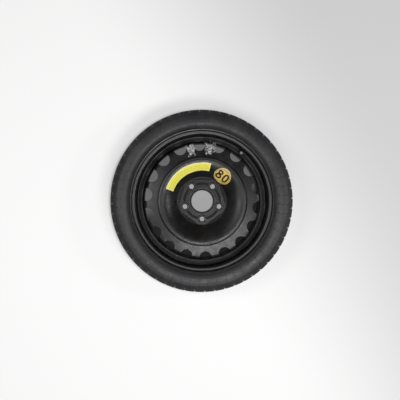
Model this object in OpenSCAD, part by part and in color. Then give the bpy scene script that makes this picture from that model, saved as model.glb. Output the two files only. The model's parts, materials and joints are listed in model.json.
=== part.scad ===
// Space saver spare wheel: a narrow pressed-steel wheel with its tubeless tyre, snap-in valve and
// stickers. It lies flat with its outer face up. The origin is the middle of the hub bore, on the
// face that bolts to the hub, and +Z points out of the outer face.

/* [Rim] */
// Diameter of the seats that the tyre's beads sit on
bead_seat_d = 405.6; // [395:0.2:415]
// Width between the inner faces of the two flanges
rim_width = 101.6; // [98:0.2:112]
// Distance from the rim's middle plane out to the hub face
rim_offset = 41; // [37:0.5:45]
// Thickness of the rim's rolled sheet
rim_sheet = 2.8; // [2:0.1:3.4]
// Height of each flange above the bead seat
flange_h = 17.3; // [15:0.1:19]
// Radius of the curl at the top of each flange
flange_curl_r = 9.5; // [8:0.1:10.5]
// How far the flange's curl carries on past its top, in degrees
flange_curl_past = 18; // [0:1:25]
// Radius of the corner between bead seat and flange
heel_r = 6.5; // [4:0.1:8]
// Depth of the well below the bead seats
well_depth = 20; // [17:0.5:23]
// Distance from the outer flange to its side of the well
outer_ledge_w = 32.8; // [31:0.2:35]
// Distance from the inner flange to its side of the well
inner_ledge_w = 28.8; // [28:0.2:32]
// Height of the rounded hump that keeps each bead on its seat
hump_h = 1.2; // [0.5:0.1:2]

/* [Disc] */
// Thickness of the disc's sheet
disc_sheet = 3.6; // [3:0.1:4.2]
// Rise from the hub pad up to the bowl's lip
bowl_depth = 28.6; // [24:0.2:32]
// Outer radius of the flat ledge round the hub pad
ledge_r = 73; // [72:0.5:76]
// Height of the hub pad above that ledge
pad_step = 1.2; // [0.5:0.1:2]
// Distance from the axis to the hub pad's flat sides
pad_flat_r = 64; // [62:0.5:66]
// Distance from the axis to the hub pad's rounded corners
pad_corner_r = 71.5; // [70:0.5:72]
// Radius of the bowl's lip
lip_r = 128; // [125:0.5:131]
// Drop from the lip to the vent ring round it
lip_step = 1.7; // [1:0.1:3]
// Fall of the vent ring towards its outer edge, in degrees
vent_ring_fall = 8; // [4:0.5:12]
// Radius of the bend between vent ring and skirt
shoulder_r = 12; // [9:0.5:14]
// Draw of the skirt's free part, measured at its top
skirt_draw = 2.5; // [1:0.5:4]
// Number of vent holes
vent_count = 18; // [16:1:20]
// Diameter of each vent hole
vent_d = 39; // [32:0.5:40]
// Angle of the first vent hole
vent_first = 13.3; // [0:0.1:20]
// Lean of the vent holes away from the axis
vent_lean = 34; // [28:1:38]

/* [Hub] */
// Diameter of the hub bore
bore_d = 65.1; // [56:0.1:67]
// Number of wheel bolts
bolt_count = 5; // [4:1:6]
// Diameter of the circle of bolt holes
bolt_circle_d = 110; // [106:0.5:114]
// Diameter of each bolt hole
bolt_hole_d = 14.5; // [12:0.1:15]
// Full angle of the conical bolt seats
seat_angle = 60; // [50:1:70]
// Height of the boss round each bolt seat
boss_h = 2.2; // [1:0.1:3]
// Diameter of each boss at its foot
boss_d = 27; // [26:0.5:28]
// Depth of the curved pockets between the bolts
pocket_depth = 1.4; // [0.5:0.1:1.8]
// Width of the curved pockets
pocket_w = 8.5; // [5:0.5:9]

/* [Welds] */
// Number of weld beads between skirt and rim
weld_count = 4; // [3:1:6]
// Length of each weld bead round the rim, in degrees
weld_arc = 38; // [20:1:50]
// Leg of each weld bead
weld_leg = 3.4; // [2:0.1:4]

/* [Tyre] */
// Outer diameter of the tyre
tyre_d = 567.4; // [560:0.2:575]
// Width of the tyre across its sidewalls
tyre_w = 118; // [115:0.5:121]
// Thickness of the sidewalls
sidewall_t = 8; // [6:0.5:9]
// Thickness of the rubber and plies under the tread
tread_t = 13.5; // [12:0.5:16]
// Width of the tread
tread_w = 88; // [80:1:92]
// Fall of the tread from its middle to its edges
crown_fall = 4.2; // [2.5:0.1:5]
// Depth of the grooves that run round the tread
groove_depth = 5; // [3:0.5:6]
// Width of those grooves
groove_w = 6; // [4:0.5:8]
// Number of shoulder grooves on each side
notch_count = 56; // [48:1:60]
// Width of each shoulder groove
notch_w = 3.6; // [2:0.2:5]
// Length of each shoulder groove, inwards from the tread's edge
notch_len = 14; // [10:1:15]
// Depth of each shoulder groove at the tread's edge
notch_depth = 4.5; // [2:0.5:5]
// Slant of the shoulder grooves across the tread
notch_slant = 14; // [0:1:20]
// Fall of the shoulder grooves' floors towards the sidewall, in degrees
notch_dip = 20; // [10:1:25]
// Width of the bead at its toe
bead_w = 15; // [12:0.5:15.5]
// Gap between the tyre and the flange's curl
flange_gap = 0.4; // [0.2:0.1:1]

/* [Valve] */
// Angle of the valve round the wheel
valve_angle = 50.9; // [40:0.1:60]
// Diameter of the valve hole
valve_hole_d = 11.3; // [10:0.1:11.6]
// Height of the rubber body in front of the rim
valve_rubber_h = 17.5; // [15:0.5:20]
// Diameter of the rubber body at its foot
valve_foot_d = 14; // [13:0.2:14.4]
// Diameter of the rubber body's head behind the rim
valve_head_d = 15; // [13.6:0.2:15.6]
// Diameter of the brass stem's thread
stem_d = 7.7; // [7:0.1:8]
// Length of the brass stem past the rubber
stem_out = 9; // [8:0.5:10]
// Diameter of the bore in the stem
stem_bore_d = 4.8; // [4.4:0.1:5]
// Diameter of the valve pin
pin_d = 1.4; // [1:0.1:1.6]
// Travel of the valve pin
pin_travel = 1.5; // [1:0.1:2]
// Running clearance round the valve's moving pieces
valve_play = 0.05; // [0.02:0.01:0.09]
// Outer diameter of the dust cap
cap_d = 9.6; // [9:0.1:11]
// Thickness of the dust cap's closed end
cap_top = 1.6; // [1:0.1:2.5]
// Free height between the stem's tip and the cap's seal
cap_room = 0.1; // [0.05:0.05:0.5]

/* [Stickers] */
// Thickness of the stickers
sticker_t = 0.3; // [0.2:0.05:0.5]
// Thickness of the glue under the stickers
glue_t = 0.05; // [0.02:0.01:0.1]
// Inner radius of the curved sticker
arc_in_r = 93.5; // [91:0.5:96]
// Outer radius of the curved sticker
arc_out_r = 117.5; // [113:0.5:120]
// Angle at which the curved sticker starts
arc_start = 77; // [74:0.5:90]
// Angle that the curved sticker covers
arc_sweep = 84.5; // [60:0.5:88]
// Diameter of the round sticker
round_d = 53.6; // [48:0.2:55]
// Distance from the axis to the round sticker's middle
round_r = 96.9; // [96:0.1:99]
// Angle of the round sticker
round_angle = 50.9; // [44:0.1:53]

/* [Hidden] */
$fn = 96;
cut = 0.5;
seat_r = bead_seat_d / 2;
well_r = seat_r - well_depth;
skirt_r = well_r - rim_sheet;
flange_r = seat_r + flange_h;
well_outer_u = rim_width / 2 - outer_ledge_w;
well_inner_u = rim_width / 2 - inner_ledge_w;
hump_u = rim_width / 2 - bead_w - 0.8;
wall_front_z = well_outer_u - rim_offset + rim_sheet;
skirt_end_z = -rim_offset - well_inner_u + 1;
ledge_z = disc_sheet;
pad_z = ledge_z + pad_step;
lip_z = pad_z + bowl_depth;
crown_z = lip_z - lip_step;
bolt_seat_z = 2;
boss_top_z = pad_z + boss_h;
seat_top_r = bolt_hole_d / 2 + (boss_top_z - bolt_seat_z) * tan(seat_angle / 2);
seat_corner_r = 5;
seat_fall = 0.6;
well_corner_r = 2;
valve_r = (well_r + well_corner_r + seat_r - 1 - seat_corner_r) / 2;

function arc_points(cu, cr, r, a0, a1, n) =
    [for (i = [0 : n]) let (a = a0 + (a1 - a0) * i / n) [cu + r * cos(a), cr + r * sin(a)]];
function flipped(path) = [for (i = [len(path) - 1 : -1 : 0]) path[i]];
function mirrored(path) = [for (p = flipped(path)) [-p[0], p[1]]];
function unit(v) = v / norm(v);
function left_of(v) = [-v[1], v[0]];

// The same line moved sideways by t, with mitred corners
function shifted(path, t) = [for (i = [0 : len(path) - 1])
    let (before = unit(path[max(i, 1)] - path[max(i, 1) - 1]),
         after = unit(path[min(i + 1, len(path) - 1)] - path[min(i, len(path) - 2)]),
         side = unit(left_of(before) + left_of(after)),
         stretch = 1 / (side * left_of(after)))
    path[i] + side * t * stretch];
function sheet_outline(path, t) = concat(path, flipped(shifted(path, t)));

// Outlines are drawn as [distance along the axis, radius] and turned about +Z
module revolved(outline, z = 0, angle = 360, $fn = 256) {
    translate([0, 0, z])
        rotate_extrude(angle = angle)
            polygon([for (p = outline) [p[1], p[0]]]);
}

// The side of the rim that faces the tyre, from a flange's lip to its side of the well
function rim_side(reach) = concat(
    arc_points(rim_width / 2 + flange_curl_r, flange_r - flange_curl_r, flange_curl_r,
               90 - flange_curl_past, 180, 9),
    arc_points(rim_width / 2 - heel_r, seat_r + heel_r, heel_r, 0, -90, 6),
    [[hump_u, seat_r - seat_fall], [hump_u - 2.4, seat_r - seat_fall + hump_h],
     [hump_u - 4.8, seat_r - seat_fall + hump_h], [reach + seat_corner_r + 1, seat_r - 1]],
    arc_points(reach + seat_corner_r, seat_r - 1 - seat_corner_r, seat_corner_r, 90, 180, 5),
    arc_points(reach - well_corner_r, well_r + well_corner_r, well_corner_r, 0, -90, 4));
rim_path = concat(rim_side(well_outer_u), mirrored(rim_side(well_inner_u)));

// Seen from the front, the disc's face as [radius, height] from the ledge to the end of its skirt:
// a bowl that rises to its lip, a low step down, and a rounded shoulder that falls to the skirt
wall_r = ledge_r + 2;
wall_z = ledge_z + 0.7;
bowl_path = [for (i = [0 : 12]) let (k = i / 12)
    [wall_r + (lip_r - wall_r) * k, wall_z + (lip_z - wall_z) * (sin(90 * k) + k * (2 - k)) / 2]];
step_path = [[lip_r + 3.5, lip_z - 0.35 * lip_step], [lip_r + 6, lip_z - 0.85 * lip_step],
             [lip_r + 9, crown_z]];
shoulder_cr = skirt_r - skirt_draw - shoulder_r;
shoulder_cz = crown_z - (shoulder_cr - lip_r - 9) * tan(vent_ring_fall) - shoulder_r / cos(vent_ring_fall);
shoulder_path = concat(
    [for (i = [0 : 8]) let (a = (90 - vent_ring_fall) * (1 - i / 8))
        [shoulder_cr + shoulder_r * cos(a), shoulder_cz + shoulder_r * sin(a)]],
    [[skirt_r - 0.6, wall_front_z + 4], [skirt_r, wall_front_z - 2]]);
face_path = concat([[ledge_r, ledge_z]], bowl_path, step_path, shoulder_path, [[skirt_r, skirt_end_z]]);
function face_z(r, i = 0) =
    r <= face_path[i + 1][0]
    ? face_path[i][1] + (r - face_path[i][0]) * (face_path[i + 1][1] - face_path[i][1])
      / (face_path[i + 1][0] - face_path[i][0])
    : face_z(r, i + 1);
disc_front = concat([[ledge_z, bore_d / 2]], [for (p = face_path) [p[1], p[0]]]);

module rim() {
    color("#26262a")
    difference() {
        revolved(sheet_outline(rim_path, rim_sheet), -rim_offset);
        at_valve() translate([0, 0, -rim_sheet - cut]) cylinder(d = valve_hole_d, h = rim_sheet + 2 * cut);
    }
}

// Flat pad with five sides, cut round at its corners
module hub_pad_outline(flat_r, corner_r) {
    intersection() {
        circle(r = corner_r, $fn = 192);
        rotate(-90)
            circle(r = flat_r / cos(180 / bolt_count), $fn = bolt_count);
    }
}

module at_bolts(turn = 0) {
    for (i = [0 : bolt_count - 1])
        rotate(turn - 90 + i * 360 / bolt_count)
            translate([bolt_circle_d / 2, 0, 0])
                children();
}

// A curved pocket between two bolts, with round ends
module pocket(z, depth) {
    half = 180 / bolt_count - 19;
    translate([0, 0, z - depth]) {
        rotate(-half)
            rotate_extrude(angle = 2 * half)
                translate([bolt_circle_d / 2 - 1 - pocket_w / 2, 0])
                    square([pocket_w, depth + cut]);
        for (a = [-half, half])
            rotate(a)
                translate([bolt_circle_d / 2 - 1, 0, 0])
                    cylinder(d = pocket_w, h = depth + cut);
    }
}

module vent_cut() {
    translate([shoulder_cr + 0.5 * shoulder_r, 0, shoulder_cz + 0.5 * shoulder_r])
        rotate([0, vent_lean, 0])
            translate([0, 0, -24])
                cylinder(d = vent_d, h = 48);
}

module wheel_disc() {
    color("#232326")
    difference() {
        union() {
            revolved(sheet_outline(disc_front, disc_sheet));
            translate([0, 0, ledge_z - 0.2])
                linear_extrude(pad_step + 0.2)
                    hub_pad_outline(pad_flat_r, pad_corner_r);
            at_bolts()
                translate([0, 0, pad_z - 0.2])
                    cylinder(d1 = boss_d, d2 = 2 * seat_top_r + 2, h = boss_h + 0.2);
            translate([0, 0, pad_z - 0.2])
                ring(bore_d / 2 + 6.4, bore_d / 2 + 8.8, 1.1);
        }
        translate([0, 0, -cut])
            cylinder(d = bore_d, h = pad_z + 2 * cut);
        translate([0, 0, pad_z - 1.1])
            ring(bore_d / 2 + 2, bore_d / 2 + 5.6, 1.1 + cut);
        at_bolts() {
            translate([0, 0, -cut])
                cylinder(d = bolt_hole_d, h = boss_top_z + 2 * cut);
            translate([0, 0, bolt_seat_z])
                cylinder(d1 = bolt_hole_d, d2 = 4 * seat_top_r - bolt_hole_d, h = 2 * (boss_top_z - bolt_seat_z));
        }
        for (i = [0 : bolt_count - 1])
            rotate(-90 + (i + 0.5) * 360 / bolt_count)
                pocket(pad_z, pocket_depth);
        for (i = [0 : vent_count - 1])
            rotate(vent_first + i * 360 / vent_count)
                vent_cut();
    }
}

module ring(r_in, r_out, h) {
    difference() {
        cylinder(r = r_out, h = h, $fn = 192);
        translate([0, 0, -cut])
            cylinder(r = r_in, h = h + 2 * cut, $fn = 192);
    }
}

module rim_to_disc_welds() {
    color("#34343a")
    for (i = [0 : weld_count - 1])
        rotate(15 + i * 360 / weld_count)
            revolved([[skirt_end_z, skirt_r], [skirt_end_z - weld_leg, skirt_r],
                      [skirt_end_z - weld_leg * 0.75, skirt_r - weld_leg * 0.55],
                      [skirt_end_z, skirt_r - weld_leg]], angle = weld_arc);
}

// Radius of a bead seat, which falls a little towards the well
function seat_line(u) =
    seat_r - seat_fall * (rim_width / 2 - heel_r - u) / (rim_width / 2 - heel_r - hump_u);

// The tyre's section as [distance from its middle plane, radius], half of it, from the tread's middle
// round the sidewall to the bead, and back along the inside
section_h = tyre_d / 2 - seat_r;
sidewall_r = 0.593 * section_h;
sidewall_cu = tyre_w / 2 - sidewall_r;
sidewall_cr = seat_r + 0.522 * section_h;
sidewall_foot_r = flange_r + 5.4;
curl_cu = rim_width / 2 + flange_curl_r;
curl_cr = flange_r - flange_curl_r;
function crown_at(u) = tyre_d / 2 - crown_fall * pow(2 * u / tread_w, 2);
function groove(u) = [[u - groove_w / 2 - 0.6, crown_at(u - groove_w / 2 - 0.6)],
                      [u - groove_w / 2, crown_at(u) - groove_depth],
                      [u + groove_w / 2, crown_at(u) - groove_depth],
                      [u + groove_w / 2 + 0.6, crown_at(u + groove_w / 2 + 0.6)]];
groove_u = tread_w * 0.27;
tyre_outside = concat(
    [[0, crown_at(0) - groove_depth], [groove_w / 2, crown_at(0) - groove_depth],
     [groove_w / 2 + 0.6, crown_at(groove_w / 2)], [tread_w * 0.13, crown_at(tread_w * 0.13)]],
    groove(groove_u),
    [[tread_w * 0.42, crown_at(tread_w * 0.42)], [tread_w / 2, crown_at(tread_w / 2)],
     [tread_w / 2 + 3, crown_at(tread_w / 2) - 2.4]],
    arc_points(sidewall_cu, sidewall_cr, sidewall_r, 35, asin((sidewall_foot_r - sidewall_cr) / sidewall_r), 14),
    arc_points(curl_cu, curl_cr, flange_curl_r + flange_gap, 118, 180, 5),
    arc_points(rim_width / 2 - heel_r, seat_r + heel_r, heel_r - flange_gap, 0, -65, 4),
    [[rim_width / 2 - heel_r - 1.5, seat_line(rim_width / 2 - heel_r - 1.5)]]);
bead_toe = [rim_width / 2 - bead_w, seat_line(rim_width / 2 - bead_w)];
tyre_inside = concat(
    [bead_toe, bead_toe + [1, 8], bead_toe + [5, 16]],
    arc_points(sidewall_cu, sidewall_cr, sidewall_r - sidewall_t, -18, 30, 9),
    [[tread_w * 0.4, tyre_d / 2 - tread_t - 1], [tread_w * 0.25, tyre_d / 2 - tread_t], [0, tyre_d / 2 - tread_t]]);
half_tyre = concat(tyre_outside, tyre_inside);

// Slanting grooves that run out over the tread's edge on to the shoulder
module shoulder_grooves() {
    for (side = [-1, 1], i = [0 : notch_count - 1])
        rotate((i + side / 4) * 360 / notch_count)
            translate([crown_at(tread_w / 2) - notch_depth, 0, side * tread_w / 2])
                rotate([side * notch_slant, -side * notch_dip, 0])
                    translate([0, -notch_w / 2, side > 0 ? -notch_len : -2 * notch_len])
                        cube([3 * notch_depth, notch_w, 3 * notch_len]);
}

module tyre() {
    color("#2d2b30")
    translate([0, 0, -rim_offset])
        difference() {
            revolved(concat(half_tyre, mirrored([for (i = [1 : len(half_tyre) - 2]) half_tyre[i]])));
            shoulder_grooves();
        }
}

// Heights in the valve are measured from the front of the rim's wall
module at_valve() {
    rotate(valve_angle)
        translate([valve_r, 0, wall_front_z])
            children();
}

// A turned piece drawn as [radius, height]
module turned(outline) {
    rotate_extrude()
        polygon(outline);
}

stem_r = stem_d / 2;
shank_r = stem_r - 0.85;
stem_top = valve_rubber_h + stem_out;
stem_bottom = -rim_sheet - 4;
core_r = stem_bore_d / 2;
barrel_r = core_r - 0.35;
plug_h = 4;
plug_bottom = stem_top - 1 - plug_h;
barrel_h = 10;
barrel_bottom = plug_bottom - barrel_h;
floor_t = 1.2;
pin_r = pin_d / 2;
spring_room_r = barrel_r - 0.4;
collar_t = 0.8;
collar_z = plug_bottom - 2;
spring_r = (pin_r + spring_room_r) / 2;
spring_wire_d = 0.4;
pin_seal_t = 1.4;

module valve_rubber_body() {
    color("#1b1b1d")
    at_valve()
        turned([[shank_r, -rim_sheet - 6], [valve_head_d / 2 - 2, -rim_sheet - 6], [valve_head_d / 2, -rim_sheet - 4],
                [valve_head_d / 2, -rim_sheet - 1.2], [valve_hole_d / 2, -rim_sheet], [valve_hole_d / 2, 0],
                [valve_foot_d / 2 - 0.5, 0.6], [valve_foot_d / 2, 1.8], [valve_foot_d / 2 - 0.4, 4],
                [stem_r + 2, 9], [stem_r + 1.2, valve_rubber_h - 0.8], [stem_r + 0.6, valve_rubber_h],
                [stem_r, valve_rubber_h], [stem_r, valve_rubber_h - 3], [shank_r, valve_rubber_h - 3]]);
}

module valve_stem() {
    color("#b9a06a")
    at_valve()
        turned([[core_r - 0.8, stem_bottom], [shank_r, stem_bottom], [shank_r, valve_rubber_h - 3],
                [stem_r, valve_rubber_h - 3], [stem_r, stem_top - 0.5], [stem_r - 0.5, stem_top],
                [core_r, stem_top], [core_r, barrel_bottom - pin_seal_t - pin_travel - 1],
                [core_r - 0.8, barrel_bottom - pin_seal_t - pin_travel - 1.8]]);
}

module valve_core_plug() {
    color("#c2ab74")
    at_valve()
        turned([[pin_r + valve_play, plug_bottom], [core_r, plug_bottom], [core_r, plug_bottom + plug_h - 1],
                [core_r - 0.8, plug_bottom + plug_h], [pin_r + valve_play, plug_bottom + plug_h]]);
}

module valve_core_barrel() {
    color("#c2ab74")
    at_valve()
        turned([[pin_r + valve_play, barrel_bottom], [barrel_r, barrel_bottom], [barrel_r, plug_bottom],
                [spring_room_r, plug_bottom], [spring_room_r, barrel_bottom + floor_t],
                [pin_r + valve_play, barrel_bottom + floor_t]]);
}

module valve_core_seal() {
    color("#a02c28")
    at_valve()
        translate([0, 0, barrel_bottom + barrel_h / 2])
            turned([[barrel_r, 0], [core_r, 0.4], [core_r, 2], [barrel_r, 2.4]]);
}

module valve_pin() {
    color("#c2ab74")
    at_valve()
        turned([[0, barrel_bottom - pin_seal_t - 0.4], [pin_r, barrel_bottom - pin_seal_t - 0.4], [pin_r, collar_z],
                [spring_room_r - valve_play, collar_z], [spring_room_r - valve_play, collar_z + collar_t],
                [pin_r, collar_z + collar_t], [pin_r, stem_top - 0.3], [0, stem_top - 0.3]]);
}

module valve_pin_seal() {
    color("#1b1b1d")
    at_valve()
        translate([0, 0, barrel_bottom - valve_play - pin_seal_t])
            turned([[pin_r, 0], [core_r - 0.6, 0], [core_r - 0.6, pin_seal_t - 0.3], [core_r - 0.9, pin_seal_t],
                    [pin_r, pin_seal_t]]);
}

// A round wire wound into a coil between the barrel's floor and the pin's collar
module valve_spring() {
    turns = 6;
    steps = 12;
    sides = 6;
    low = barrel_bottom + floor_t + spring_wire_d / 2;
    rise = collar_z - low - spring_wire_d / 2;
    wire = [for (i = [0 : turns * steps], j = [0 : sides - 1])
        let (a = 360 * i / steps, b = -360 * j / sides, r = spring_r + spring_wire_d / 2 * cos(b))
        [r * cos(a), r * sin(a), low + rise * i / (turns * steps) + spring_wire_d / 2 * sin(b)]];
    skin = [for (i = [0 : turns * steps - 1], j = [0 : sides - 1])
        let (k = (j + 1) % sides)
        [i * sides + j, i * sides + k, (i + 1) * sides + k, (i + 1) * sides + j]];
    ends = [[for (j = [sides - 1 : -1 : 0]) j], [for (j = [0 : sides - 1]) turns * steps * sides + j]];
    color("#8c8f94")
    at_valve()
        polyhedron(wire, concat(skin, ends));
}

cap_foot = valve_rubber_h + 0.8;
cap_seal_t = 0.8;
cap_ceiling = stem_top + cap_room + cap_seal_t;
cap_in_r = stem_r + valve_play;

module valve_cap() {
    rib_count = 16;
    color("#8f9092")
    at_valve() {
        turned([[cap_in_r, cap_foot], [cap_d / 2 - 0.4, cap_foot], [cap_d / 2 - 0.4, cap_ceiling + cap_top - 1],
                [cap_d / 2 - 1.4, cap_ceiling + cap_top], [0, cap_ceiling + cap_top], [0, cap_ceiling],
                [cap_in_r, cap_ceiling]]);
        for (i = [0 : rib_count - 1])
            rotate(i * 360 / rib_count)
                translate([cap_d / 2 - 0.5, 0, cap_foot + 0.6])
                    cylinder(d = 0.9, h = cap_ceiling - cap_foot - 0.4, $fn = 16);
    }
}

module valve_cap_seal() {
    color("#1b1b1d")
    at_valve()
        translate([0, 0, cap_ceiling - cap_seal_t])
            cylinder(r = cap_in_r - 0.2, h = cap_seal_t);
}

// A thin band that lies on the bowl's wall between two radii
function on_wall(r_in, r_out) = concat(
    [[face_z(r_in), r_in]],
    [for (p = face_path) if (p[0] > r_in + 0.1 && p[0] < r_out - 0.1) [p[1], p[0]]],
    [[face_z(r_out), r_out]]);

module arc_label() {
    color("#e8dc52")
    rotate(arc_start)
        revolved(sheet_outline(shifted(on_wall(arc_in_r, arc_out_r), -glue_t), -sticker_t), angle = arc_sweep);
}

module speed_label() {
    slope = atan2(face_z(round_r + 10) - face_z(round_r - 10), 20);
    color("#f0b43c")
    intersection() {
        rotate(round_angle - 30)
            revolved(sheet_outline(shifted(on_wall(wall_r, lip_r), -glue_t), -sticker_t), angle = 60);
        rotate(round_angle)
            translate([round_r, 0, face_z(round_r)])
                rotate([0, -slope, 0])
                    translate([0, 0, -15])
                        cylinder(d = round_d, h = 30);
    }
}

rim();
wheel_disc();
rim_to_disc_welds();
tyre();
valve_rubber_body();
valve_stem();
valve_core_plug();
valve_core_barrel();
valve_core_seal();
valve_pin();
valve_pin_seal();
valve_spring();
valve_cap();
valve_cap_seal();
arc_label();
speed_label();
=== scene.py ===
"""The looks of a space saver spare wheel, photographed square on from above.

Sections follow the order in which the wheel is put together: rim with its paint, disc, welds,
valve, tyre, stickers, what use left on it, and last the floor, the lamps and the camera.
"""
import json
import math

import bmesh
import bpy
from mathutils import Matrix, Vector, noise
from mathutils.bvhtree import BVHTree

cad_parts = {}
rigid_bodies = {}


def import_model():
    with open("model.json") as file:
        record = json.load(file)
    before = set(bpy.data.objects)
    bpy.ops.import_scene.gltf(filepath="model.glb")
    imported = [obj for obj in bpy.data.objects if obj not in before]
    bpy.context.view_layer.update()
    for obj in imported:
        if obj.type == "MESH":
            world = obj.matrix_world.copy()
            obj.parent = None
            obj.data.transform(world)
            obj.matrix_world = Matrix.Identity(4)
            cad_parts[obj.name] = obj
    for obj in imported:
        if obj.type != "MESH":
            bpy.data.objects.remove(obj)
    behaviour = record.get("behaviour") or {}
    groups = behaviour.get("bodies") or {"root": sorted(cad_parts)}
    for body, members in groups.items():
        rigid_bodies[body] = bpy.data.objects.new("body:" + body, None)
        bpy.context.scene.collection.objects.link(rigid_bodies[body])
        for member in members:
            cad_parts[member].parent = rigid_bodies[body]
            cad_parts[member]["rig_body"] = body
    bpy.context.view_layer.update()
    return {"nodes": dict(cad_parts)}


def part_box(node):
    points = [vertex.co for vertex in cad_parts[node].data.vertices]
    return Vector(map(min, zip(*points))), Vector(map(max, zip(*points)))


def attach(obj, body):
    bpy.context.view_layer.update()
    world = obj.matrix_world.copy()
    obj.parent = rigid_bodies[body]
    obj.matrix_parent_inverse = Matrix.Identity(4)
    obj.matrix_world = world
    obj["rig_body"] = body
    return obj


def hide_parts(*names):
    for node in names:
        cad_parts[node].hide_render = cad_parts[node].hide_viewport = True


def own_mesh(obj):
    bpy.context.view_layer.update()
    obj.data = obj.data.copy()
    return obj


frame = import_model()


# ---- Rim -------------------------------------------------------------------------------------
# The rim is one strip of steel, rolled to its section, bent to a ring and butt welded. Both lips
# are rolled over, so that every edge that shows is round.


def put(name, mesh, mat, body="wheel"):
    """A mesh as a piece that rides on a body of the frame, in one material."""
    piece = bpy.data.objects.new(name, mesh)
    bpy.context.scene.collection.objects.link(piece)
    mesh.materials.clear()
    mesh.materials.append(mat)
    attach(piece, body)
    return piece


def smooth_copy(node, mat, sharp=34):
    """The CAD node's mesh as one joined, smoothly shaded piece that stands for it."""
    mesh = frame["nodes"][node].data.copy()
    joined = bmesh.new()
    joined.from_mesh(mesh)
    bmesh.ops.remove_doubles(joined, verts=joined.verts, dist=2e-6)
    for edge in joined.edges:
        edge.smooth = edge.is_manifold and edge.calc_face_angle(0) < math.radians(sharp)
    for face in joined.faces:
        face.smooth = True
    joined.to_mesh(mesh)
    joined.free()
    piece = put(node + "_finished", mesh, mat, frame["nodes"][node]["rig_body"])
    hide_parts(node)
    return piece


def feed(node, inputs):
    """Sets each input to a value, or joins it to another node's socket."""
    for key, value in inputs.items():
        if isinstance(value, bpy.types.NodeSocket):
            node.id_data.links.new(value, node.inputs[key])
        else:
            node.inputs[key].default_value = value


def add(tree, kind, inputs=None, **settings):
    """A new node with its settings and its inputs."""
    made = tree.nodes.new(kind)
    for key, value in settings.items():
        setattr(made, key, value)
    feed(made, inputs or {})
    return made


def place_in(tree):
    """The socket of a piece's own Object coordinates."""
    return add(tree, "ShaderNodeTexCoord").outputs["Object"]


def material(name, slot=""):
    """A new node material for a slot of the record: its tree, shader and place socket too."""
    mat = bpy.data.materials.new(name)
    mat["slot"] = slot
    mat.use_nodes = True
    tree = mat.node_tree
    return mat, tree, tree.nodes["Principled BSDF"], place_in(tree)


def blend(tree, factor, low, high):
    """The socket of a mix of two colours, each a socket or three numbers."""
    low, high = ((*c, 1) if isinstance(c, tuple) else c for c in (low, high))
    return add(tree, "ShaderNodeMix", {0: factor, 6: low, 7: high}, data_type="RGBA").outputs[2]


def sums(tree, operation, a, b=0.0, c=0.0):
    """The socket of one step of arithmetic."""
    return add(tree, "ShaderNodeMath", {0: a, 1: b, 2: c}, operation=operation).outputs[0]


def product(tree, a, b):
    """The socket of two values multiplied, as where two masks overlap."""
    return sums(tree, "MULTIPLY", a, b)


def larger(tree, *values):
    """The socket of the largest of some values, as where masks are joined."""
    largest = values[0]
    for value in values[1:]:
        largest = sums(tree, "MAXIMUM", largest, value)
    return largest


def vectors(tree, operation, a, b=(0.0, 0.0, 0.0)):
    """The outputs of one step of vector arithmetic."""
    return add(tree, "ShaderNodeVectorMath", {0: a, 1: b}, operation=operation).outputs


def from_axis(tree, place):
    """The socket of a place's distance from the wheel's axis."""
    flat = vectors(tree, "MULTIPLY", place, (1.0, 1.0, 0.0))[0]
    return vectors(tree, "LENGTH", flat)["Value"]


def steps(tree, value, low, high, to_low=0.0, to_high=1.0):
    """A value run smoothly from one range into another."""
    return add(tree, "ShaderNodeMapRange", {0: value, 1: low, 2: high, 3: to_low, 4: to_high},
               interpolation_type="SMOOTHSTEP").outputs[0]


def grain(tree, place, scale, detail=3.0, rough=0.55):
    """The socket of a noise pattern."""
    return add(tree, "ShaderNodeTexNoise", {"Vector": place, "Scale": scale, "Detail": detail,
                                            "Roughness": rough}).outputs[0]


def bump(tree, height, strength, distance, under=None):
    """The socket of a normal raised by a height, over an earlier normal if one is given."""
    inputs = {"Height": height, "Strength": strength, "Distance": distance}
    if under is not None:
        inputs["Normal"] = under
    return add(tree, "ShaderNodeBump", inputs).outputs[0]


def group(name, inputs, output):
    """An empty shader group: its tree, the sockets that it is given, and the one it gives."""
    tree = bpy.data.node_groups.new(name, "ShaderNodeTree")
    for label, value in inputs.items():
        socket = tree.interface.new_socket(label, in_out="INPUT", socket_type="NodeSocketFloat")
        socket.default_value = value
    tree.interface.new_socket(output, in_out="OUTPUT", socket_type="NodeSocketFloat")
    asked = tree.nodes.new("NodeGroupInput").outputs
    return tree, asked, tree.nodes.new("NodeGroupOutput").inputs[0]


# Dust settles in patches of several sizes, with a fine grit in them.
dust, asked, given = group("settled dust", {"Amount": 0.3, "Patch size": 14.0}, "Cover")
place = place_in(dust)
patches = steps(dust, grain(dust, place, asked["Patch size"], 5.0, 0.62), 0.42, 0.72)
grit = sums(dust, "MULTIPLY_ADD", grain(dust, place, 900.0, 2.0, 0.7), 0.8, 0.35)
dust.links.new(product(dust, product(dust, patches, grit), asked["Amount"]), given)

# Scratches are short and lie in all directions: two sets of stretched cells, broken by a noise.
scratch, asked, given = group("fine scratches", {"Amount": 0.5}, "Line")
place = place_in(scratch)
lines = []
for turn, stretch in ((0.6, (9.0, 160.0, 60.0)), (-1.1, (150.0, 11.0, 60.0))):
    turned = add(scratch, "ShaderNodeMapping",
                 {"Vector": place, "Rotation": (0.0, 0.0, turn), "Scale": stretch})
    cells = add(scratch, "ShaderNodeTexVoronoi", {"Vector": turned.outputs[0], "Scale": 1.0},
                feature="DISTANCE_TO_EDGE")
    lines.append(steps(scratch, cells.outputs["Distance"], 0.035, 0.0))
broken = steps(scratch, grain(scratch, place, 26.0, 2.0), 0.55, 0.66)
both = product(scratch, larger(scratch, *lines), broken)
scratch.links.new(product(scratch, both, asked["Amount"]), given)

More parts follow.
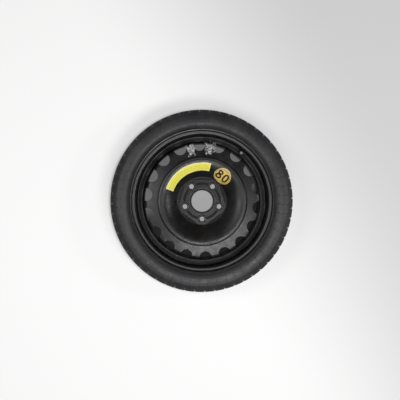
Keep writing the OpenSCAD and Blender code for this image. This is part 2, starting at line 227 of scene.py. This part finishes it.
# Rim and disc are sprayed black together once they are welded, so one satin coat serves both. It
# has a little orange peel, dust, fine scratches and a brown bloom of rust.
coat, tree, shader, place = material("satin black paint", "black_paint")
dirt = add(tree, "ShaderNodeGroup", {"Amount": 0.12}, node_tree=dust).outputs["Cover"]
lines = add(tree, "ShaderNodeGroup", {"Amount": 0.4}, node_tree=scratch).outputs["Line"]
blotch = grain(tree, place, 60.0, 4.0, 0.65)
rust_at = (-0.139, -0.092, 0.0)
to_rust = steps(tree, vectors(tree, "DISTANCE", place, rust_at)["Value"], 0.055, 0.012)
rust = product(tree, to_rust, steps(tree, blotch, 0.42, 0.7))
black, thin_black = (0.0060, 0.0053, 0.0056), (0.0085, 0.0076, 0.0080)
tone = blend(tree, grain(tree, place, 9.0, 2.0), black, thin_black)
tone = blend(tree, dirt, tone, (0.085, 0.077, 0.074))
tone = blend(tree, product(tree, rust, 0.55), tone, (0.050, 0.030, 0.024))
tone = blend(tree, lines, tone, (0.045, 0.042, 0.042))

# Painted highlights: thin paler rings on the disc's lip, stronger on its far side, on a roll in the
# rim and on the flange, where the rounded edges catch the lamps.
lip_r, roll_r, flange_top_r = 0.1300, 0.1965, 0.2095
radius = from_axis(tree, place)
_, y, z = add(tree, "ShaderNodeSeparateXYZ", {0: place}).outputs
lip_highlight_weight = steps(tree, y, -0.03, 0.09, 0.25, 1.0)
for middle, half_wide, much in ((lip_r, 0.0014, lip_highlight_weight), (roll_r, 0.0018, 0.12),
                                (flange_top_r, 0.0030, 0.9)):
    # Each ring blends a pale tone into the coat as a painted highlight.
    painted_highlight_ring = sums(tree, "COMPARE", radius, middle, half_wide)
    tone = blend(tree, product(tree, painted_highlight_ring, much), tone, (0.050, 0.046, 0.047))

# Dirt makes the coat matt in the pad's pockets, at the lip's foot, on the ledge over the bead seat
# and in the groove beside the flange. The lip's foot and the groove also reflect less, a painted
# shade.
pocket_r, pocket_z = 0.0738, 0.0040
lip_foot_r, ledge_r, groove_r = 0.1352, 0.1915, 0.2030
pockets = product(tree, steps(tree, z, pocket_z + 0.0006, pocket_z),
                  steps(tree, radius, pocket_r, pocket_r - 0.0010))
grime_and_shade = larger(tree, sums(tree, "COMPARE", radius, groove_r, 0.0035),
               sums(tree, "COMPARE", radius, lip_foot_r, 0.0017))
ledge = product(tree, sums(tree, "COMPARE", radius, ledge_r, 0.0045), 0.9)
matt = sums(tree, "ADD", steps(tree, blotch, 0.3, 0.75, 0.31, 0.42), product(tree, dirt, 0.8))
matt = sums(tree, "MULTIPLY_ADD", larger(tree, pockets, grime_and_shade, ledge), 0.45, matt)
peel = bump(tree, grain(tree, place, 420.0, 2.0), 0.06, 0.0008)
# Specular is turned down along the lip's foot and the groove as painted shade.
feed(shader, {"Base Color": tone, "Roughness": matt, "Coat Weight": 0.06, "Coat Roughness": 0.22,
              "Specular IOR Level": steps(tree, grime_and_shade, 0.0, 1.0, 0.42, 0.10),
              "Normal": bump(tree, grain(tree, place, 34.0, 1.0), 0.10, 0.002, peel)})
rim = smooth_copy("rim", coat)


# ---- Disc ------------------------------------------------------------------------------------
# The disc is cut from a steel sheet and drawn in several strokes: hub pad, bowl, vent ring and
# skirt. Bore, bolt holes and vents are punched, and the tool leaves their edges slightly rolled in.
disc = smooth_copy("wheel_disc", coat)

# The pad's pressed edges are bevelled and painted pale grey: partly coat rubbed off by sockets and
# the hub's flange, partly a painted highlight that makes them shine as thin lines.
rubbed_and_highlit_edge, tree, shader, place = material("rubbed edge with painted highlight")
scuff = grain(tree, place, 160.0, 4.0, 0.6)
dull, bright = (0.09, 0.087, 0.085), (0.22, 0.21, 0.205)
feed(shader, {"Base Color": blend(tree, steps(tree, scuff, 0.3, 0.7), dull, bright),
              "Roughness": steps(tree, scuff, 0.3, 0.7, 0.45, 0.30)})
disc.data.materials.append(rubbed_and_highlit_edge)
pad_r, pad_floor_z, edge_wide = 0.0735, 0.0035, 0.0010
pad = bmesh.new()
pad.from_mesh(disc.data)
edges = [edge for edge in pad.edges
         if edge.is_manifold and edge.calc_face_angle_signed(0) > math.radians(38)
         and all(v.co.xy.length < pad_r and v.co.z > pad_floor_z for v in edge.verts)]
bmesh.ops.bevel(pad, geom=edges, offset=edge_wide, segments=2, profile=0.5, affect="EDGES",
                material=1, clamp_overlap=True)
pad.to_mesh(disc.data)
pad.free()


# ---- Welds -----------------------------------------------------------------------------------
# Four beads of weld metal join the skirt's end to the rim's well. Each bead froze in ripples, with
# the paint lying a little thicker over it.
bead, tree, shader, place = material("painted weld", "weld_paint")
ripple = add(tree, "ShaderNodeTexWave", {"Vector": place, "Scale": 90.0, "Distortion": 5.0,
                                         "Detail": 2.0}).outputs[1]
feed(shader, {"Base Color": blend(tree, ripple, (0.012, 0.011, 0.012), (0.028, 0.026, 0.026)),
              "Roughness": steps(tree, grain(tree, place, 300.0), 0.3, 0.7, 0.4, 0.65),
              "Normal": bump(tree, ripple, 0.5, 0.0008)})
smooth_copy("rim_to_disc_welds", bead)


# ---- Valve -----------------------------------------------------------------------------------
# A brass stem is moulded into a rubber body, which is pulled through its hole from behind. Plug,
# pin, barrel, spring and seals are its core, and a ribbed plastic cap with a rubber disc keeps
# dirt out.
brass, tree, shader, place = material("drawn brass", "brass")
stain = grain(tree, place, 500.0, 4.0, 0.6)
feed(shader, {"Base Color": blend(tree, stain, (0.62, 0.44, 0.20), (0.40, 0.28, 0.13)),
              "Roughness": steps(tree, stain, 0.3, 0.7, 0.25, 0.42), "Metallic": 1.0})

steel, tree, shader, place = material("spring steel", "spring_steel")
stain = grain(tree, place, 1500.0, 2.0)
feed(shader, {"Base Color": blend(tree, stain, (0.50, 0.51, 0.53), (0.36, 0.36, 0.37)),
              "Roughness": steps(tree, stain, 0.3, 0.7, 0.28, 0.4), "Metallic": 1.0})

soft, tree, shader, place = material("valve rubber", "valve_rubber")
bloom = grain(tree, place, 240.0, 4.0, 0.6)
feed(shader, {"Base Color": blend(tree, bloom, (0.010, 0.010, 0.011), (0.022, 0.021, 0.021)),
              "Roughness": steps(tree, bloom, 0.3, 0.7, 0.5, 0.7)})

sealing, tree, shader, place = material("red seal rubber", "seal_rubber")
bloom = grain(tree, place, 900.0)
feed(shader, {"Base Color": blend(tree, bloom, (0.30, 0.025, 0.02), (0.19, 0.016, 0.014)),
              "Roughness": 0.55})

packing, tree, shader, place = material("black seal rubber", "seal_rubber")
bloom = grain(tree, place, 800.0)
feed(shader, {"Base Color": blend(tree, bloom, (0.014, 0.013, 0.013), (0.026, 0.025, 0.025)),
              "Roughness": 0.6})

shell, tree, shader, place = material("grey plastic", "grey_plastic")
dirt = add(tree, "ShaderNodeGroup", {"Amount": 0.25}, node_tree=dust).outputs["Cover"]
mould = grain(tree, place, 700.0, 3.0)
tone = blend(tree, mould, (0.20, 0.20, 0.205), (0.26, 0.26, 0.265))
feed(shader, {"Base Color": blend(tree, dirt, tone, (0.16, 0.15, 0.14)),
              "Roughness": steps(tree, mould, 0.3, 0.7, 0.36, 0.5)})

finishes = {"valve_rubber_body": soft, "valve_stem": brass, "valve_core_plug": brass,
            "valve_core_barrel": brass, "valve_core_seal": sealing, "valve_pin": brass,
            "valve_pin_seal": packing, "valve_spring": steel, "valve_cap_seal": packing,
            "valve_cap": shell}
valve = {node: smooth_copy(node, mat) for node, mat in finishes.items()}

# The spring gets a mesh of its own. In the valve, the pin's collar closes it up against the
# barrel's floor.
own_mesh(valve["valve_spring"])


# ---- Tyre ------------------------------------------------------------------------------------
# The tyre is cured in one piece in a mould of two sidewall plates and a ring of tread sectors.
# Three grooves run round it, and slanting grooves and thin sipes are cut in by blades set in the
# sectors.
tread_half, crown_r, pitches = 0.044, 0.2827, 56
seat_r, flange_r, curl_r, rim_half = 0.2028, 0.2201, 0.0095, 0.0508
middle_z = -0.041
wall_r = 0.593 * (crown_r - seat_r)
wall_cu, wall_cr = 0.059 - wall_r, seat_r + 0.522 * (crown_r - seat_r)
notch_from, notch_to, notch_low_r = 0.0095, 0.036, 0.262
notch_deep, rib_cut_deep, sipe_deep = 0.0045, 0.0036, 0.0022
rib_edge, slant_wide, slant_share = 0.0306, 0.013, 0.25
liner_gap, ring_half_wide = 0.008, 0.0016


def crown(u):
    """Radius of the tread's surface at a distance from the middle plane."""
    return crown_r - 0.0026 * (u / tread_half) ** 2


def arc(cu, cr, r, start, end, count):
    """Points [distance from the middle plane, radius] on an arc."""
    turns = [math.radians(start + (end - start) * i / count) for i in range(count + 1)]
    return [(cu + r * math.cos(turn), cr + r * math.sin(turn)) for turn in turns]


def groove(u):
    """One groove that runs round the tread, with rounded lips and floor."""
    side = [(0.0036, 0.0003), (0.0033, 0.0014), (0.0029, 0.0046), (0.0022, 0.0050)]
    near = [(u - away, crown(u) - deep) for away, deep in side]
    far = [(u + away, crown(u) - deep) for away, deep in reversed(side)]
    return [(u - 0.0040, crown(u - 0.0040)), *near, *far, (u + 0.0040, crown(u + 0.0040))]


foot = math.degrees(math.asin((flange_r + 0.0054 - wall_cr) / wall_r))
rib = [(u, crown(u)) for u in (0.0052, 0.0086, 0.0120, 0.0156, 0.0190)]
shoulder = [(u, crown(u)) for u in (0.0294, 0.0306, 0.0309, 0.0335, 0.0362, 0.0390, 0.0415, 0.0432)]
edge_r = crown(0.0440)
half = groove(0.0)[5:] + rib + groove(0.02376) + shoulder
half += [(0.0442, edge_r - 0.0004), (0.0454, edge_r - 0.0011), (0.0470, edge_r - 0.0024)]
half += arc(wall_cu, wall_cr, wall_r, 35, foot, 26)
half += arc(rim_half + curl_r, flange_r - curl_r, curl_r + 0.0004, 118, 180, 4)
half += arc(rim_half - 0.0065, seat_r + 0.0065, 0.0061, 0, -65, 3)
inside = [(0.0358, seat_r - 0.0005), (0.0368, seat_r + 0.0075), (0.0408, seat_r + 0.0155)]
inside += arc(wall_cu, wall_cr, wall_r - liner_gap, -18, 30, 2) + [(0.022, crown_r - 0.0135)]
outside = len(half)
half += inside
outline = half + [(-u, r) for u, r in reversed(half)]

# Places of the blades' edges along one pitch of the tread, in millimetres.
blades = (-3.2, -2.8, 2.8, 3.2, 7.6, 12.0, 15.35, 15.6, 16.2, 16.45, 21.0, 25.6)
# Fine raised rings on the sidewall, each with its height.
rings = ((0.2375, 0.0005), (0.2415, 0.0003), (0.2600, 0.0006), (0.2635, 0.0004), (0.2668, 0.0004))


def cut(u, r, blade):
    """Radius of the tyre where a blade stood: shoulder grooves, and sipes in the ribs."""
    reach = abs(u)
    if abs(blade) < 3.0 and reach > notch_from and r > notch_low_r:
        slope = (tread_half - reach) * math.tan(math.radians(20))
        floor_r = crown(tread_half) - notch_deep + slope
        return min(r, floor_r if reach > notch_to else crown(u) - rib_cut_deep)
    thin = 15.5 < blade < 16.3 and (0.0050 < reach < 0.0158 or 0.0290 < reach)
    return r - sipe_deep if thin else r


points = []
for k in range(pitches):
    for blade in blades:
        for i, (u, r) in enumerate(outline):
            quarter = max(-1.0, min(1.0, u / rib_edge)) / 4
            slant = min(tread_half - abs(u), slant_wide) * slant_share
            turn = (k + quarter) * math.tau / pitches + (blade / 1000 + slant) / crown_r
            w = u
            if min(i, len(outline) - 1 - i) < outside:
                r = cut(u, r, blade)
                bulge = sum(tall * max(0.0, 1 - ((r - at) / ring_half_wide) ** 2)
                            for at, tall in rings)
                w += math.copysign(bulge, u)
            points.append((r * math.cos(turn), r * math.sin(turn), w + middle_z))


def smooth_mesh(name, points, faces, sharp):
    """A smoothly shaded mesh whose edges stay sharp past an angle."""
    mesh = bpy.data.meshes.new(name)
    mesh.from_pydata(points, [], faces)
    mesh.polygons.foreach_set("use_smooth", [True] * len(faces))
    mesh.update()
    mesh.set_sharp_from_angle(angle=math.radians(sharp))
    return mesh


count, columns = len(outline), pitches * len(blades)
faces = [(c * count + i, (c + 1) % columns * count + i,
          (c + 1) % columns * count + (i + 1) % count, c * count + (i + 1) % count)
         for c in range(columns) for i in range(count)]
casing = smooth_mesh("tyre_casing", points, faces, 38)

# Sidewalls are greyed by dust and bloom. The rubber turns darker out over the shoulder and tread,
# and beside the rim's flange it is darker still, a painted shadow, and matt.
rubber, tree, shader, place = material("tyre rubber", "tyre_rubber")
radius = from_axis(tree, place)
dirt = add(tree, "ShaderNodeGroup", {"Amount": 0.5, "Patch size": 11.0}, node_tree=dust)
smear = grain(tree, place, 30.0, 5.0, 0.65)
tone = blend(tree, smear, (0.019, 0.0175, 0.0200), (0.030, 0.0278, 0.0310))
tone = blend(tree, product(tree, dirt.outputs["Cover"], 0.45), tone, (0.115, 0.108, 0.105))
tone = blend(tree, steps(tree, radius, 0.272, 0.2815, 0.0, 0.45), tone, (0.016, 0.015, 0.016))
# Painted shadow in the rubber beside the rim's flange.
tone = blend(tree, steps(tree, radius, 0.235, 0.223, 0.0, 0.75), tone, (0.006, 0.006, 0.006))
matt = sums(tree, "ADD", steps(tree, smear, 0.3, 0.7, 0.42, 0.56),
            steps(tree, radius, 0.237, 0.227, 0.0, 0.30))
fine = bump(tree, grain(tree, place, 650.0, 3.0, 0.6), 0.18, 0.0005)
feed(shader, {"Base Color": tone, "Roughness": matt,
              "Normal": bump(tree, grain(tree, place, 55.0, 3.0), 0.16, 0.002, fine)})
tyre = put("tyre_finished", casing, rubber)
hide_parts("tyre")

# Moulding leaves short rubber hairs where the mould was vented, in two rings on each sidewall.
hairs = bpy.data.node_groups.new("moulding hairs", "GeometryNodeTree")
for label, kind, way in (("Places", "NodeSocketGeometry", "INPUT"),
                         ("Length", "NodeSocketFloat", "INPUT"),
                         ("Thickness", "NodeSocketFloat", "INPUT"),
                         ("Lean", "NodeSocketFloat", "INPUT"), ("Seed", "NodeSocketInt", "INPUT"),
                         ("Hairs", "NodeSocketGeometry", "OUTPUT")):
    hairs.interface.new_socket(label, in_out=way, socket_type=kind)
asked = hairs.nodes.new("NodeGroupInput").outputs
one = add(hairs, "GeometryNodeMeshCone",
          {"Vertices": 7, "Radius Top": 0.0002, "Radius Bottom": asked["Thickness"],
           "Depth": asked["Length"]}, fill_type="NGON")
most = add(hairs, "ShaderNodeCombineXYZ", {0: asked["Lean"], 1: asked["Lean"], 2: 3.0}).outputs[0]
least = add(hairs, "ShaderNodeVectorMath", {0: most, "Scale": -1.0}, operation="SCALE").outputs[0]
turned = add(hairs, "FunctionNodeRandomValue", {0: least, 1: most, "Seed": asked["Seed"]},
             data_type="FLOAT_VECTOR")
many = add(hairs, "GeometryNodeInstanceOnPoints",
           {"Points": asked["Places"], "Instance": one.outputs[0], "Rotation": turned.outputs[0]})
real = add(hairs, "GeometryNodeRealizeInstances", {0: many.outputs[0]})
ended = add(hairs, "GeometryNodeSetMaterial", {"Geometry": real.outputs[0], "Material": rubber})
hairs.links.new(ended.outputs[0], hairs.nodes.new("NodeGroupOutput").inputs[0])


def surface_of(*pieces):
    """A tree that answers where a straight line meets these pieces."""
    points, faces = [], []
    for piece in pieces:
        start = len(points)
        points += [v.co.copy() for v in piece.data.vertices]
        faces += [[start + i for i in p.vertices] for p in piece.data.polygons]
    return BVHTree.FromPolygons(points, faces)


on_tyre = surface_of(tyre)
points = []
for ring, number, late in ((0.2600, 28, 0.3), (0.2662, 14, 0.9)):
    for k in range(number):
        turn = (k + late) * math.tau / number
        for side in (1, -1):
            above = Vector((ring * math.cos(turn), ring * math.sin(turn), 0.2 * side + middle_z))
            points.append(on_tyre.ray_cast(above, Vector((0, 0, -side)))[0])
vents = bpy.data.meshes.new("vent_spots")
vents.from_pydata(points, [], [])
holder = bpy.data.objects.new("vent_spots", vents)
bpy.context.scene.collection.objects.link(holder)
maker = holder.modifiers.new("hairs", "NODES")
maker.node_group = hairs
sizes = {"Length": 0.0022, "Thickness": 0.0005, "Lean": 0.35, "Seed": 7}
for socket in hairs.interface.items_tree:
    if socket.name in sizes:
        maker[socket.identifier] = sizes[socket.name]
ready = holder.evaluated_get(bpy.context.evaluated_depsgraph_get())
grown = bpy.data.meshes.new_from_object(ready)
bpy.data.objects.remove(holder)
put("moulding_hairs", grown, rubber)


# ---- Stickers --------------------------------------------------------------------------------
# Two printed vinyl stickers are pressed on to the bowl's wall before the wheel is boxed: a long
# curved one with lines of small print, and a round one with the number 80. Handling has scuffed
# both.


def band(tree, value, low, high, soft=0.0004):
    """1 between two values, 0 outside, with soft edges."""
    return product(tree, steps(tree, value, low - soft, low + soft),
                   steps(tree, value, high + soft, high - soft))


def about_axis(tree, place):
    """The socket of a place's angle about the wheel's axis, in radians."""
    part = add(tree, "ShaderNodeSeparateXYZ", {0: place}).outputs
    return sums(tree, "ARCTAN2", part[1], part[0])


curved, tree, shader, place = material("yellow print", "yellow_sticker")
radius, angle = from_axis(tree, place), about_axis(tree, place)
scuff = grain(tree, place, 130.0, 5.0, 0.7)
print_low_r, print_high_r, print_start, print_end = 0.0958, 0.1153, 1.375, 2.785
rows = 0.0
for at, half_row in ((0.0990, 0.0006), (0.1022, 0.0006), (0.1076, 0.0011), (0.1122, 0.0006)):
    words = add(tree, "ShaderNodeCombineXYZ", {0: product(tree, angle, 34.0), 1: at * 900})
    printed = steps(tree, grain(tree, words.outputs[0], 1.0, 1.0), 0.44, 0.50)
    row = product(tree, printed, band(tree, radius, at - half_row, at + half_row))
    rows = larger(tree, rows, row)
inside = product(tree, band(tree, radius, print_low_r, print_high_r),
                 band(tree, angle, print_start, print_end, 0.004))
margin = sums(tree, "MULTIPLY_ADD", inside, -0.55, 0.55)
tone = blend(tree, grain(tree, place, 22.0), (0.92, 0.84, 0.080), (0.96, 0.91, 0.15))
tone = blend(tree, product(tree, product(tree, rows, inside), 0.42), tone, (0.36, 0.31, 0.05))
tone = blend(tree, margin, tone, (0.86, 0.84, 0.46))
tone = blend(tree, steps(tree, scuff, 0.60, 0.80, 0.0, 0.5), tone, (0.42, 0.38, 0.16))
feed(shader, {"Base Color": tone, "Roughness": steps(tree, scuff, 0.35, 0.75, 0.34, 0.55)})
smooth_copy("arc_label", curved)

# The round sticker is printed with its top outwards. Its outline is a little flattened that way.
round_turn, round_at, squeeze = math.radians(50.9), 0.0969, 0.86
outward = Vector((math.cos(round_turn), math.sin(round_turn), 0))
along = Vector((math.sin(round_turn), -math.cos(round_turn), 0))
middle = outward * round_at
round_print, tree, shader, place = material("orange print", "orange_sticker")
flat = vectors(tree, "MULTIPLY", place, (1.0, 1.0, 0.0))[0]
lean = vectors(tree, "SUBTRACT", flat, middle)[0]
up = vectors(tree, "DOT_PRODUCT", lean, outward)["Value"]
across = vectors(tree, "DOT_PRODUCT", lean, along)["Value"]
oval = add(tree, "ShaderNodeCombineXYZ", {0: sums(tree, "DIVIDE", up, squeeze), 1: across})
reach = vectors(tree, "LENGTH", oval.outputs[0])["Value"]
scuff = grain(tree, place, 150.0, 5.0, 0.7)
words = steps(tree, grain(tree, place, 420.0, 1.0), 0.42, 0.50)
tone = blend(tree, grain(tree, place, 40.0), (0.74, 0.52, 0.11), (0.83, 0.62, 0.18))
tone = blend(tree, band(tree, reach, 0.0232, 0.0245, 0.0003), tone, (0.085, 0.045, 0.012))
tone = blend(tree, steps(tree, reach, 0.0248, 0.0256, 0.0, 0.6), tone, (0.80, 0.66, 0.26))
for low, high, half_wide in ((0.0150, 0.0166, 0.0085), (-0.0168, -0.0152, 0.0085),
                             (0.0182, 0.0192, 0.0050)):
    bar = product(tree, band(tree, up, low, high, 0.0002),
                  band(tree, across, -half_wide, half_wide))
    tone = blend(tree, product(tree, product(tree, bar, words), 0.75), tone, (0.10, 0.055, 0.014))
tone = blend(tree, steps(tree, scuff, 0.60, 0.80, 0.0, 0.5), tone, (0.34, 0.22, 0.08))
feed(shader, {"Base Color": tone, "Roughness": steps(tree, scuff, 0.35, 0.75, 0.34, 0.55)})
speed_label = smooth_copy("speed_label", round_print)


def height(surface, x, y, default=0.0):
    """Height of a surface under a point, or a default where there is none."""
    hit = surface.ray_cast(Vector((x, y, 0.2)), Vector((0, 0, -1)))[0]
    return hit.z if hit and hit.z > -0.05 else default


# The digits are thick flat strokes, so each is one or two closed rings of ink, draped on the
# sticker.
ink, tree, shader, place = material("dark brown ink")
mottle = grain(tree, place, 300.0, 4.0)
feed(shader, {"Base Color": blend(tree, mottle, (0.022, 0.012, 0.006), (0.045, 0.026, 0.013)),
              "Roughness": steps(tree, grain(tree, place, 200.0), 0.3, 0.7, 0.4, 0.55)})
on_sticker = surface_of(speed_label)
ring_steps, corner, sunk = 56, 0.86, -0.0001
points, faces = [], []
for offset, rise, half_w, half_h, stroke, lift in (
        (-0.0112, -0.0066, 0.0094, 0.0086, 0.0052, 0.00010),
        (-0.0112, 0.0074, 0.0082, 0.0078, 0.0049, 0.00012),
        (0.0112, 0.0, 0.0090, 0.0155, 0.0054, 0.00010)):
    start = len(points)
    for i in range(ring_steps):
        c, s = math.cos(i * math.tau / ring_steps), math.sin(i * math.tau / ring_steps)
        c, s = math.copysign(abs(c) ** corner, c), math.copysign(abs(s) ** corner, s)
        for shrink, above in ((0, lift), (stroke, lift), (stroke, sunk), (0, sunk)):
            spot = middle + along * (offset + (half_w - shrink) * c)
            spot += outward * squeeze * (rise + (half_h - shrink) * s)
            points.append((spot.x, spot.y, height(on_sticker, spot.x, spot.y, 0.02) + above))
        after = (i + 1) % ring_steps
        faces += [(start + i * 4 + j, start + i * 4 + (j + 1) % 4,
                   start + after * 4 + (j + 1) % 4, start + after * 4 + j) for j in range(4)]
put("printed_80", smooth_mesh("figures", points, faces, 40), ink)


# ---- Torn film and flecks --------------------------------------------------------------------
# A clear label once lay across the top vent hole. It was torn away, and two crumpled scraps of its
# film stay glued to the webs beside the hole, whitened along their folds and paler there still with
# painted glints. A few pale flecks lie about.


def noise_at(x, y, scale, seed):
    """A smooth noise at a point, between about -1 and 1."""
    return noise.noise(Vector((x * scale, y * scale, seed)))


film, tree, shader, place = material("crumpled clear film")
folds_and_glints = grain(tree, place, 210.0, 5.0, 0.75)
# Folds are painted near white: stress whitening, and painted glints.
feed(shader, {"Base Color": blend(tree, folds_and_glints, (0.30, 0.29, 0.29), (0.95, 0.94, 0.93)),
              "Roughness": steps(tree, folds_and_glints, 0.3, 0.7, 0.30, 0.12),
              "Alpha": steps(tree, folds_and_glints, 0.44, 0.58, 0.12, 1.0)})
on_disc = surface_of(disc)
columns, rows, web_r, lip_edge_r, thickness = 34, 54, 0.158, 0.136, 0.00012
torn = bmesh.new()
for degrees, wide, low_r, high_r, seed in ((103.0, 0.026, 0.1400, 0.180, 3.0),
                                           (82.0, 0.033, 0.1405, 0.183, 9.0)):
    turn, grid = math.radians(degrees), {}
    for i in range(columns + 1):
        for j in range(rows + 1):
            r = low_r + (high_r - low_r) * j / rows
            level = height(on_disc, r * math.cos(turn), r * math.sin(turn))
            at = turn + (i / columns - 0.5) * wide / web_r
            x, y = r * math.cos(at), r * math.sin(at)
            crease = abs(noise_at(x, y, 170, seed)) + 0.5 * abs(noise_at(x, y, 420, seed))
            near_lip = min(1.0, max(0.2, (r - lip_edge_r) / 0.012))
            lift = (0.0003 + 0.0036 * crease) * near_lip
            grid[i, j] = torn.verts.new((x, y, level + lift))
    for i in range(columns):
        for j in range(rows):
            x, y, _ = grid[i, j].co
            from_middle = max(abs(i + 0.5 - columns / 2) / columns, abs(j + 0.5 - rows / 2) / rows)
            ragged = noise_at(x, y, 110, seed + 5) + 0.6 * noise_at(x, y, 300, seed)
            if 0.80 + 0.75 * ragged > from_middle * 2 and ragged > -0.42:
                torn.faces.new((grid[i, j], grid[i + 1, j], grid[i + 1, j + 1], grid[i, j + 1]))
bmesh.ops.delete(torn, geom=[v for v in torn.verts if not v.link_faces], context="VERTS")
bmesh.ops.recalc_face_normals(torn, faces=torn.faces)
bmesh.ops.solidify(torn, geom=torn.faces, thickness=thickness)
bmesh.ops.recalc_face_normals(torn, faces=torn.faces)
scraps = bpy.data.meshes.new("film_scraps")
torn.to_mesh(scraps)
torn.free()
put("torn_film", scraps, film)

fleck, tree, shader, place = material("pale flecks")
mottle = grain(tree, place, 700.0)
feed(shader, {"Base Color": blend(tree, mottle, (0.20, 0.17, 0.165), (0.42, 0.37, 0.36)),
              "Roughness": steps(tree, grain(tree, place, 300.0), 0.3, 0.7, 0.6, 0.9)})
on_wheel = surface_of(rim, disc, tyre)
crumbs = bmesh.new()
for x, y, wide, thick in ((0.171, 0.0128, 0.0017, 0.0006), (0.0629, -0.0076, 0.0011, 0.0005),
                          (-0.078, -0.170, 0.0012, 0.0005), (0.0198, -0.220, 0.0014, 0.0005),
                          (-0.166, -0.1875, 0.0026, 0.0008), (0.026, 0.186, 0.0022, 0.0009),
                          (-0.112, -0.118, 0.0010, 0.0004), (0.118, -0.133, 0.0009, 0.0004),
                          (0.205, 0.110, 0.0011, 0.0004)):
    z = height(on_wheel, x, y)
    for v in bmesh.ops.create_icosphere(crumbs, subdivisions=3, radius=1.0)["verts"]:
        swell = 1 + 0.45 * noise.noise(v.co * 1.7 + Vector((x, y, 0)) * 90)
        v.co = Vector((x + v.co.x * wide * swell, y + v.co.y * wide * 0.75 * swell,
                       z + (v.co.z - 0.6) * thick))
for face in crumbs.faces:
    face.smooth = True
bits = bpy.data.meshes.new("flecks")
crumbs.to_mesh(bits)
crumbs.free()
put("pale_flecks", bits, fleck)


# ---- Floor, lamps and camera -----------------------------------------------------------------
# The wheel lies on its back on a pale floor. Daylight comes from the left and from below the
# picture, and the far right corner falls away to a light grey.
floor_half = 3.0
floor_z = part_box("rim")[0].z - 0.0001
corners = [(-floor_half, -floor_half, floor_z), (floor_half, -floor_half, floor_z),
           (floor_half, floor_half, floor_z), (-floor_half, floor_half, floor_z)]
sheet = bpy.data.meshes.new("floor")
sheet.from_pydata(corners, [], [(0, 1, 2, 3)])

# Under the wheel the floor is nearly black, a painted shade, and has a painted glow: bright under
# the bore, dim under the vents on the +Y half and nearly dark, a painted shadow, under the other
# half.
paper, tree, shader, place = material("pale floor")
distance = from_axis(tree, place)
x, y, _ = add(tree, "ShaderNodeSeparateXYZ", {0: place}).outputs
# The open floor's glow and tone fall away towards the far right, a painted falloff of light.
away = sums(tree, "ADD", x, product(tree, y, 0.55))
painted_falloff = steps(tree, away, -0.1, 0.75)
open_floor = steps(tree, distance, 0.275, 0.300)
under_bore = steps(tree, distance, 0.084, 0.074)
far_side = steps(tree, sums(tree, "MULTIPLY_ADD", x, -0.27, y), -0.035, 0.045)
painted_glow_under_wheel = blend(tree, far_side, (0.022, 0.022, 0.023), (0.215, 0.215, 0.22))
painted_glow_under_wheel = blend(tree, under_bore, painted_glow_under_wheel, (0.545, 0.545, 0.545))
bright = blend(tree, painted_falloff, (0.93, 0.93, 0.925), (0.62, 0.615, 0.62))
pale = blend(tree, painted_falloff, (0.46, 0.46, 0.46), (0.33, 0.325, 0.33))
feed(shader, {"Base Color": blend(tree, open_floor, (0.04, 0.04, 0.04), pale),
              "Emission Color": blend(tree, open_floor, painted_glow_under_wheel, bright), "Emission Strength": 0.66,
              "Roughness": 0.8, "Specular IOR Level": 0.1})
floor = bpy.data.objects.new("floor", sheet)
sheet.materials.append(paper)
bpy.context.scene.collection.objects.link(floor)


def softbox(name, stand, width, tall, watts):
    """A large soft lamp that looks at the wheel's middle."""
    lamp = bpy.data.lights.new(name, "AREA")
    lamp.shape = "RECTANGLE"
    lamp.size, lamp.size_y, lamp.energy = width, tall, watts
    holder = bpy.data.objects.new(name, lamp)
    holder.location = stand
    holder.rotation_euler = (-Vector(stand)).to_track_quat("-Z", "Y").to_euler()
    bpy.context.scene.collection.objects.link(holder)


softbox("near skylight", (0.32, -0.72, 2.2), 1.25, 0.6, 30)
softbox("left window", (-1.0, 0.15, 1.7), 0.5, 0.7, 9)
softbox("right strip", (1.4, 0.05, 1.15), 0.35, 0.35, 5)

world = bpy.data.worlds.new("dim grey room")
world.use_nodes = True
feed(world.node_tree.nodes["Background"], {"Color": (0.50, 0.50, 0.51, 1), "Strength": 0.12})
bpy.context.scene.world = world

# The camera stands a little to the left of the wheel's middle, with the picture's up along +Y.
camera = bpy.data.cameras.new("camera")
camera.lens, camera.sensor_width = 70.3, 36
stand, aim = Vector((-0.118, 0.035, 2.398)), Vector((-0.0067, 0.0032, 0.010))
eye = bpy.data.objects.new("camera", camera)
eye.location = stand
back = (stand - aim).normalized()
right = Vector((0, 1, 0)).cross(back).normalized()
eye.rotation_euler = Matrix((right, back.cross(right), back)).transposed().to_euler()
bpy.context.scene.collection.objects.link(eye)
bpy.context.scene.camera = eye
bpy.context.scene.view_settings.view_transform = "Standard"
